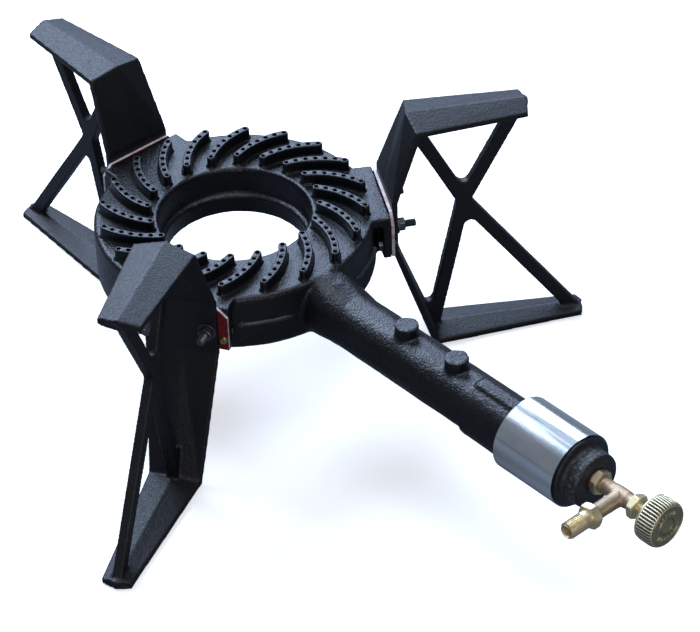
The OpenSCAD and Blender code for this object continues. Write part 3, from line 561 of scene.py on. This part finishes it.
def endDiscForm():
    flange, chamfer, boss = tube["flange"], tube["chamfer"], endDisc["boss"]
    profile = [(0, endDisc["back"]), (flange - chamfer, endDisc["back"]), (flange, endDisc["rimBack"]),
               (flange, endDisc["rimFront"]), (flange - chamfer, endDisc["front"]), (boss, endDisc["front"]),
               (boss, endDisc["bossRim"]), (endDisc["tip"], endDisc["end"]), (0, endDisc["end"])]
    return revolve(profile, tube["facets"], alongTube)


def saddleForm():
    rows = []
    level = saddle["level"]
    for t in range(saddle["rows"]):
        y = saddle["start"] + saddle["step"] * t
        past = max(0.0, y - saddle["crest"])
        top = ring["top"] - saddle["fall"] * past + saddle["curve"] * past ** 2
        wide = saddle["half"] - saddle["narrowing"] * t * t
        power = saddle["power"] + saddle["powerStep"] * t
        row = []
        for a in range(0, 360, saddle["facet"]):
            rise = sin(radians(a))
            high = (top - level) * abs(rise) ** power * (1 if rise > 0 else saddle["under"])
            row.append(Vector((wide * cos(radians(a)), -y, level + high)))
        rows.append(row)
    return loft(rows)


def railForms():
    made = []
    for turn, wide in rails["turns"]:
        for low, high, ends in rails["spans"]:
            half = degrees(wide / 2 / high)
            span = [radians(turn - half + half * i / 3) for i in range(7)]
            shape = [(high * cos(a), high * sin(a)) for a in span]
            shape += [(low * cos(a), low * sin(a)) for a in reversed(span)]
            made.append(loft([[alongTube(x * size, y * size, h) for x, y in shape] for h, size in ends]))
    return made


def bossCores():
    made = []
    r, top = topBosses["radius"], topBosses["top"] - topBosses["sunk"]
    profile = [(0, topBosses["fillet"][0][1])] + [(r + grow, h) for grow, h in topBosses["fillet"]]
    profile += [(r - topBosses["thin"], top), (0, top)]
    for at in topBosses["places"]:
        place = lambda x, y, h, at=at: Vector((x, y - at, h))
        made.append(revolve(profile, topBosses["coreFacets"], place))
    return made


def castingForms():
    forms = [ringForm()]
    for turn in legTurns.values():
        forms += lugForms(turn)
    return joined(forms + [tubeForm(), saddleForm(), endDiscForm()] + railForms() + bossCores())


voxel = 1.85
skin = remeshed("castingSkin", toMesh("castingForms", castingForms()), voxel, 4)
roughened(skin, castingGrain)
asPiece("burnerCasting", skin, "burner", ironPaint, 60, ("burner_casting",))
skin.materials.append(bossPaint)
for face in skin.polygons:
    if face.center.y < -(endDisc["front"] - tube["chamfer"]) * mm:
        face.material_index = 1
print("stage: casting", len(skin.polygons), "faces")


def bossForms():
    made = []
    r, top, lobes = topBosses["radius"], topBosses["top"], topBosses["lobes"]
    rows = [(r + grow, h, rag) for grow, h, rag in topBosses["wall"]]
    rows += [(r + grow, top + drop, rag) for grow, drop, rag in topBosses["rim"]]
    for at in topBosses["places"]:
        loops = []
        for wide, h, rag in rows:
            row = []
            for k in range(topBosses["facets"]):
                a = 2 * pi * k / topBosses["facets"]
                spot = Vector((lobes * cos(a), lobes * sin(a) + at, h / topBosses["lobeHeight"]))
                bite = rag * noise.noise(spot)
                out = wide + topBosses["biteOut"] * bite
                row.append(Vector((out * cos(a), out * sin(a) - at, h + topBosses["biteUp"] * bite)))
            loops.append(row)
        made.append(loft(loops))
    return joined(made)


asPiece("tubeBosses", toMesh("tubeBosses", bossForms()), "burner", ironPaint, 32)


def ribFrame():
    outer = Vector((rib["outerPort"], 0))
    sweep = radians(rib["sweep"])
    inner = Vector((rib["innerPort"] * cos(sweep), rib["innerPort"] * sin(sweep)))
    chord = inner - outer
    side = Vector((-chord.y, chord.x)).normalized()
    centre = (outer + inner) / 2 + side * sqrt(rib["bend"] ** 2 - (chord.length / 2) ** 2)
    a0 = degrees(atan2(outer.y - centre.y, outer.x - centre.x))
    a1 = degrees(atan2(inner.y - centre.y, inner.x - centre.x))
    return centre, a0, a1


def ribLoop(centre, a0, a1, half):
    bend = rib["bend"]
    points = arcPoints(centre.x, centre.y, bend + half, a0, a1, rib["arcSteps"])
    for turn, far in ((a1, a1), (a0 + 180, a0)):
        x, y = centre.x + bend * cos(radians(far)), centre.y + bend * sin(radians(far))
        points += arcPoints(x, y, half, turn, turn + 180, rib["capSteps"])[1:-1]
        if far == a1:
            points += arcPoints(centre.x, centre.y, bend - half, a1, a0, rib["arcSteps"])
    return points


def ringEdges(bm, loop):
    return [bm.edges.get((loop[k], loop[(k + 1) % len(loop)])) for k in range(len(loop))]


def bridged(bm, loops):
    n = len(loops[0])
    for a, b in zip(loops, loops[1:]):
        for k in range(n):
            bm.faces.new((a[k], a[(k + 1) % n], b[(k + 1) % n], b[k]))


def ribTemplate():
    centre, a0, a1 = ribFrame()
    half, top, bore = rib["width"] / 2, ring["top"], rib["bore"]
    radii = (rib["rim"], bore + rib["lead"], bore, bore, bore)
    bm = bmesh.new()
    skirt = [[bm.verts.new((x, y, top + high)) for x, y in ribLoop(centre, a0, a1, half + grow)]
             for grow, high in rib["skirt"]]
    bridged(bm, skirt)
    edges = ringEdges(bm, skirt[-1])
    for i in range(rib["ports"]):
        a = radians(a0 + (a1 - a0) * i / (rib["ports"] - 1))
        x0, y0 = centre.x + rib["bend"] * cos(a), centre.y + rib["bend"] * sin(a)
        place = lambda x, y, h: bm.verts.new((x0 + x, y0 + y, h))
        levels = zip(radii, rib["portHeights"])
        rims = [circle(r, top + high, rib["portFacets"], place) for r, high in levels]
        bridged(bm, rims)
        bm.faces.new(rims[-1])
        edges += ringEdges(bm, rims[0])
    bmesh.ops.triangle_fill(bm, use_beauty=True, use_dissolve=False, edges=edges)
    bmesh.ops.recalc_face_normals(bm, faces=bm.faces)
    bm.verts.ensure_lookup_table()
    bm.verts.index_update()
    verts = [v.co.copy() for v in bm.verts]
    faces = [tuple(v.index for v in f.verts) for f in bm.faces]
    bm.free()
    return verts, faces


def allRibs():
    verts, faces = ribTemplate()
    made = []
    for i in range(rib["count"]):
        turn = rib["start"] + i * 360 / rib["count"]
        shift = random.uniform(*rib["heightSpread"])
        moved = []
        for v in verts:
            share = max(0.0, (v.z - ring["top"]) / rib["height"])
            p = around(turn, v.x, v.y, v.z + shift * share)
            p += (noise.noise_vector(p / rib["wave"]) * rib["waveDeep"]
                  + noise.noise_vector(p / rib["grit"] + Vector((9, 4, 1))) * rib["gritDeep"])
            moved.append(p)
        made.append((moved, faces))
    return joined(made)


portRibs = asPiece("portRibs", toMesh("portRibs", allRibs()), "burner", ribPaint, 50)
print("stage: ribs", len(portRibs.data.polygons), "faces")


def beadForms():
    made = []
    out = ring["outer"] + bead["proud"]
    for start, stop, knot in bead["spans"]:
        loops = []
        for i in range(bead["steps"] + 1):
            t = i / bead["steps"]
            a = start + (stop - start) * t
            taper = min(1.0, bead["startSize"] + bead["swelling"] * min(t, 1 - t))
            lump = noise.noise(Vector((a * bead["unevenPer"], 0, 0)))
            size = bead["radius"] * taper * (1 + bead["uneven"] * lump)
            if abs(t - knot) < bead["knotReach"]:
                size *= bead["knotSize"]
            high = bead["height"] + bead["sway"] * noise.noise(Vector((a * bead["swayPer"], 5, 0)))
            turns = [radians(b) for b in range(0, 360, bead["facet"])]
            loops.append([around(a, out + size * bead["flat"] * cos(b), 0, high + size * sin(b))
                          for b in turns])
        made.append(loft(loops))
    return joined(made)


asPiece("wallBeads", toMesh("wallBeads", beadForms()), "burner", beadPaint, 60)


def markMesh():
    half, back, front = saddleMark["half"], saddleMark["back"], saddleMark["front"]
    corners = ((-half, back), (half, back), (half, front), (-half, front))
    level = lambda y: saddleMark["height"] - saddleMark["slope"] * (y - saddleMark["from"])
    mesh = toMesh("saddleMark", loft([[Vector((x, -y, level(y) + lift)) for x, y in corners]
                                      for lift in saddleMark["lifts"]]))
    bm = bmesh.new()
    bm.from_mesh(mesh)
    bmesh.ops.bevel(bm, geom=list(bm.edges) + list(bm.verts), offset=saddleMark["bevel"] * mm, segments=2,
                    affect="EDGES", profile=0.6)
    bm.to_mesh(mesh)
    bm.free()
    return mesh


asPiece("saddleMark", markMesh(), "burner", ironPaint, 50)


# The legs: the CAD skins, rounded and roughened as sand castings are, with ragged outer ends
def raggedEnds(mesh, turn):
    way = Vector((cos(radians(turn)), sin(radians(turn)), 0))
    for v in mesh.vertices:
        far = v.co.dot(way) / mm
        side = raggedEnd["bar"] if v.co.z > raggedEnd["barsOver"] * mm else raggedEnd["foot"]
        if far > side:
            rag = noise.noise(v.co / mm / raggedEnd["grain"] + Vector((turn, 3, 1)))
            bite = max(0.0, rag + raggedEnd["bias"]) * raggedEnd["deep"]
            v.co -= way * (far - side) / raggedEnd["fade"] * bite * mm


for name, turn in legTurns.items():
    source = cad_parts[name + "_leg"].data.copy()
    bm = bmesh.new()
    bm.from_mesh(source)
    bmesh.ops.remove_doubles(bm, verts=bm.verts, dist=1e-6)
    bm.to_mesh(source)
    bm.free()
    made = remeshed(name + "Leg", source, 1.25, 2)
    roughened(made, ((60, 0.22, turn), (7, 0.07, turn + 5), (3.6, 0.06, turn + 9)))
    raggedEnds(made, turn)
    leg = asPiece(name + "Leg", made, "burner", legPaint, 70, (name + "_leg",))
    print("stage:", leg.name, len(made.polygons), "faces")


# Fasteners and valve pieces
def hexForm(flats, h0, h1, bore, place, turn=0.0):
    loops, steps = [], hexCut["steps"]
    lead, edge, rim, inner = hexCut["lead"], hexCut["edge"], hexCut["rim"], flats / 2 - hexCut["land"]
    for k in range(steps):
        a = 2 * pi * k / steps
        local = (degrees(a) + 30) % 60 - 30
        r = min(flats / 2 / cos(radians(local)), flats / 2 / cos(radians(30)) - hexCut["corner"])
        drop = max(0.0, r - inner) * tan(radians(30))
        x, y = cos(a + radians(turn)), sin(a + radians(turn))
        rows = [(bore, h0 + lead), (bore + lead, h0), (inner - rim, h0), (r, h0 + drop + edge),
                (r, h1 - drop - edge), (inner - rim, h1), (bore + lead, h1), (bore, h1 - lead)]
        loops.append([place(p * x, p * y, h) for p, h in rows])
    return loft(loops, False, True)


def threadForm(radius, deep, pitch, h0, h1, plain, place, bore=0.0, steps=28, perPitch=7):
    rows = []
    count = int((h1 - h0) / pitch * perPitch)
    for i in range(count + 1):
        h = h0 + (h1 - h0) * i / count
        lead = max(0.0, h - (h1 - deep * threadCut["leadLength"])) * threadCut["leadSlope"]
        row = []
        for k in range(steps):
            a = 2 * pi * k / steps
            wave = abs((h / pitch - k / steps) % 1.0 - 0.5) * 2
            cut = deep * min(1.0, max(0.0, (wave - threadCut["crest"]) / threadCut["flank"]))
            r = radius - (cut if h > plain else 0.0) - lead
            row.append(place(r * cos(a), r * sin(a), h))
        rows.append(row)
    if bore:
        mouth, back = h1 - threadCut["mouthDeep"], h0 - threadCut["back"]
        for r, h in ((bore + threadCut["mouth"], h1), (bore, mouth), (bore, back),
                     (radius * threadCut["root"], back)):
            rows.append(circle(r, h, steps, place))
        return loft(rows, False, True)
    return loft(rows)


def washerForm(place):
    back, front, radius, bore = [washer[key] for key in ("back", "front", "radius", "bore")]
    edge, frontEdge = washer["edge"], washer["frontEdge"]
    profile = [(bore, back), (radius - edge, back), (radius, back + edge), (radius, front - frontEdge),
               (radius - frontEdge, front), (bore, front)]
    return revolve(profile, washer["facets"], place, True)


studs, washers, nuts = [], [], []
for turn in legTurns.values():
    for side in (-1, 1):
        place = outwards(turn, side * stud["side"], stud["height"])
        studs.append(threadForm(stud["radius"], stud["deep"], stud["pitch"], stud["inner"] + stud["sunk"],
                                stud["outer"], stud["plain"], place))
        washers.append(washerForm(place))
        nutTurn = random.uniform(0, 60)
        nuts.append(hexForm(nut["flats"], nut["back"], nut["front"], nut["bore"], place, nutTurn))
pieceOf("legStuds", joined(studs), "burner", dullSteel, ("leg_studs",))
pieceOf("legWashers", joined(washers), "burner", dullSteel, ("leg_washers",))
pieceOf("legNuts", joined(nuts), "burner", dullSteel, ("leg_nuts",))

pieceOf("outletHex", joined([
    hexForm(outlet["flats"], outlet["back"], outlet["front"], outlet["hexBore"], alongValve),
    revolve(outlet["spigot"], outlet["facets"], alongValve, True)]),
    "burner", brass, ("outlet_adapter",))

bodyForms = joined([revolve(valve["barrel"], valve["facets"], alongValve),
                    revolve(valve["branch"], valve["facets"], alongBranch),
                    revolve(valve["swell"], valve["facets"], alongValve)])
bodySkin = remeshed("valveBody", toMesh("bodyForms", bodyForms), 0.45, 3)
roughened(bodySkin, valveGrain)
valveBody = asPiece("valveBody", bodySkin, "burner", castBrass, 60, ("valve_body",))

pieceOf("inletFitting", joined([
    hexForm(inlet["flats"], inlet["back"], inlet["front"], inlet["hexBore"], alongBranch, inlet["turn"]),
    threadForm(inlet["radius"], inlet["deep"], inlet["pitch"], inlet["start"], inlet["end"], inlet["plain"],
               alongBranch, inlet["bore"], inlet["facets"], inlet["perPitch"])]),
    "burner", brass, ("inlet_adapter",))
pieceOf("glandNut", joined([
    hexForm(gland["flats"], gland["back"], gland["front"], gland["hexBore"], alongValve, gland["turn"]),
    revolve(gland["collar"], gland["facets"], alongValve, True)]),
    "burner", brass, ("gland_nut",))


def knobForm():
    steps, rows = knob["flutes"] * knob["perFlute"], []
    for r, h, share in knob["rows"]:
        row = []
        for k in range(steps):
            a = 2 * pi * k / steps
            wave = 0.5 - 0.5 * cos(knob["flutes"] * a)
            cut = r - knob["depth"] * share * wave ** knob["power"]
            row.append(alongValve(cut * cos(a), cut * sin(a), h))
        rows.append(row)
    return loft(rows, False, True)


flutedKnob = pieceOf("flutedKnob", knobForm(), "spindle", knobBrass, ("knob",), 40)
flutedKnob.data.materials.append(knobGrooveShade)
flutedKnob.data.materials.append(knobFace)
# Faces deep in the flutes get the painted groove shade, faces on the front disc the face finish
for face in flutedKnob.data.polygons:
    x, y, h = face.center.x / mm, face.center.z / mm - valve["height"], -face.center.y / mm
    fluted = hypot(x, y) > knob["grooveRadius"] and knob["grooveBack"] < h < knob["grooveFront"]
    if fluted and cos(knob["flutes"] * atan2(y, x)) < knob["grooveWave"]:
        face.material_index = 1
    elif h > knob["faceBack"] and hypot(x, y) < knob["faceRadius"]:
        face.material_index = 2


def knobTicks():
    made = []
    for start in knobTick["starts"]:
        for i in range(knobTick["count"]):
            a = radians(start + knobTick["first"] + i * knobTick["step"])
            loops = []
            for h, grow in knobTick["levels"]:
                inner, outer = knobTick["inner"] - grow, knobTick["outer"] + grow
                half = knobTick["half"] + grow
                loops.append([alongValve(r * cos(a) - t * sin(a), r * sin(a) + t * cos(a), h)
                              for r, t in ((inner, -half), (outer, -half), (outer, half), (inner, half))])
            made.append(loft(loops))
    return joined(made)


pieceOf("knobMarks", knobTicks(), "spindle", knobBrass)
pieceOf("knobDisc", revolve(knobCap["profile"], knobCap["facets"], alongValve), "spindle", capBrass,
        ("knob_cap",))
print("stage: valve", len(valveBody.data.polygons), "faces")

# The CAD nodes that stay get their own materials
kept = {"air_sleeve": sleeveZinc("sleeveZinc"), "back_gasket": gasketBoard("backBoard", legTurns["back"]),
        "right_gasket": gasketBoard("rightBoard", legTurns["right"]),
        "left_gasket": gasketBoard("leftBoard", legTurns["left"]), "gasket_screws": screwMetal,
        "gasket_screw_nuts": screwMetal, "adapter_washer": redFibre, "jet_nozzle": brass,
        "inlet_washer": redFibre, "packing_washer": brass, "gland_packing": palePacking,
        "seat_washer": blackRubber, "seat_plug": brass, "valve_stem": zinc, "knob_screw": zinc}
for name, material in kept.items():
    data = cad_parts[name].data
    data.materials.clear()
    data.materials.append(material)

# Floor, light and camera, in metres and watts
stand = {"size": 9, "height": -0.0004, "lampAim": (0, 0, 0.12)}
lamps = {"mirrorBox": {"place": Vector((0.513, 0.597, 0.617)) * 2.6, "size": (2.0, 1.3), "power": 58,
                       "colour": (0.56, 0.71, 1.0)},
         "topBox": {"place": (0.1, -0.3, 2.6), "size": (1.6, 1.6), "power": 26,
                    "colour": (0.80, 0.87, 1.0)},
         "backBox": {"place": (-0.08, 1.62, 2.02), "size": (1.3, 0.9), "power": 62,
                     "colour": (0.60, 0.74, 1.0)},
         "leftBox": {"place": (-1.6, -2.3, 1.0), "size": (1.2, 1.0), "power": 14,
                     "colour": (0.97, 0.96, 1.0)}}
skyLook = {"colours": ((0.74, 0.81, 1.0), (0.98, 0.99, 1.0)), "strengths": (0.22, 0.95)}
camera = {"azimuth": -40.68, "elevation": 38.09, "roll": -2.06, "focalPixels": 3020, "imageWidth": 700,
          "sensor": 36, "clipEnd": 50, "aim": (0.04264, -0.12084, 0.1), "away": 3.0}

bpy.ops.mesh.primitive_plane_add(size=stand["size"], location=(0, 0, stand["height"]))
floor = bpy.context.object
floor.name = "paleFloor"
floor.data.materials.append(paleFloor("floorPaint"))

for name, box in lamps.items():
    light = bpy.data.lights.new(name, "AREA")
    light.shape = "RECTANGLE"
    light.size, light.size_y = box["size"]
    light.energy = box["power"]
    light.color = box["colour"]
    lamp = bpy.data.objects.new(name, light)
    bpy.context.scene.collection.objects.link(lamp)
    lamp.location = box["place"]
    way = Vector(stand["lampAim"]) - Vector(box["place"])
    lamp.rotation_euler = way.to_track_quat("-Z", "Y").to_euler()

world = bpy.data.worlds.new("studio")
bpy.context.scene.world = world
world.use_nodes = True
sky = world.node_tree
seenSky = put(sky, "ShaderNodeLightPath").outputs["Is Camera Ray"]
background = sky.nodes["Background"].inputs
sky.links.new(blendColours(sky, seenSky, *skyLook["colours"]), background["Color"])
sky.links.new(spread(sky, seenSky, 0, 1, *skyLook["strengths"]), background["Strength"])
bpy.context.scene.view_settings.view_transform = "Standard"

azimuth, elevation, roll = [radians(camera[key]) for key in ("azimuth", "elevation", "roll")]
towards = Vector((-cos(elevation) * sin(azimuth), cos(elevation) * cos(azimuth), -sin(elevation)))
right = Vector((cos(azimuth), sin(azimuth), 0))
up = right.cross(towards)
turnedRight = right * cos(roll) + up * sin(roll)
turnedUp = up * cos(roll) - right * sin(roll)
lens = bpy.data.cameras.new("view")
lens.sensor_width = camera["sensor"]
lens.sensor_fit = "HORIZONTAL"
lens.lens = camera["focalPixels"] * camera["sensor"] / camera["imageWidth"]
lens.clip_end = camera["clipEnd"]
view = bpy.data.objects.new("view", lens)
bpy.context.scene.collection.objects.link(view)
spin = Matrix((turnedRight, turnedUp, -towards)).transposed().to_4x4()
view.matrix_world = Matrix.Translation(Vector(camera["aim"]) - towards * camera["away"]) @ spin
bpy.context.scene.camera = view
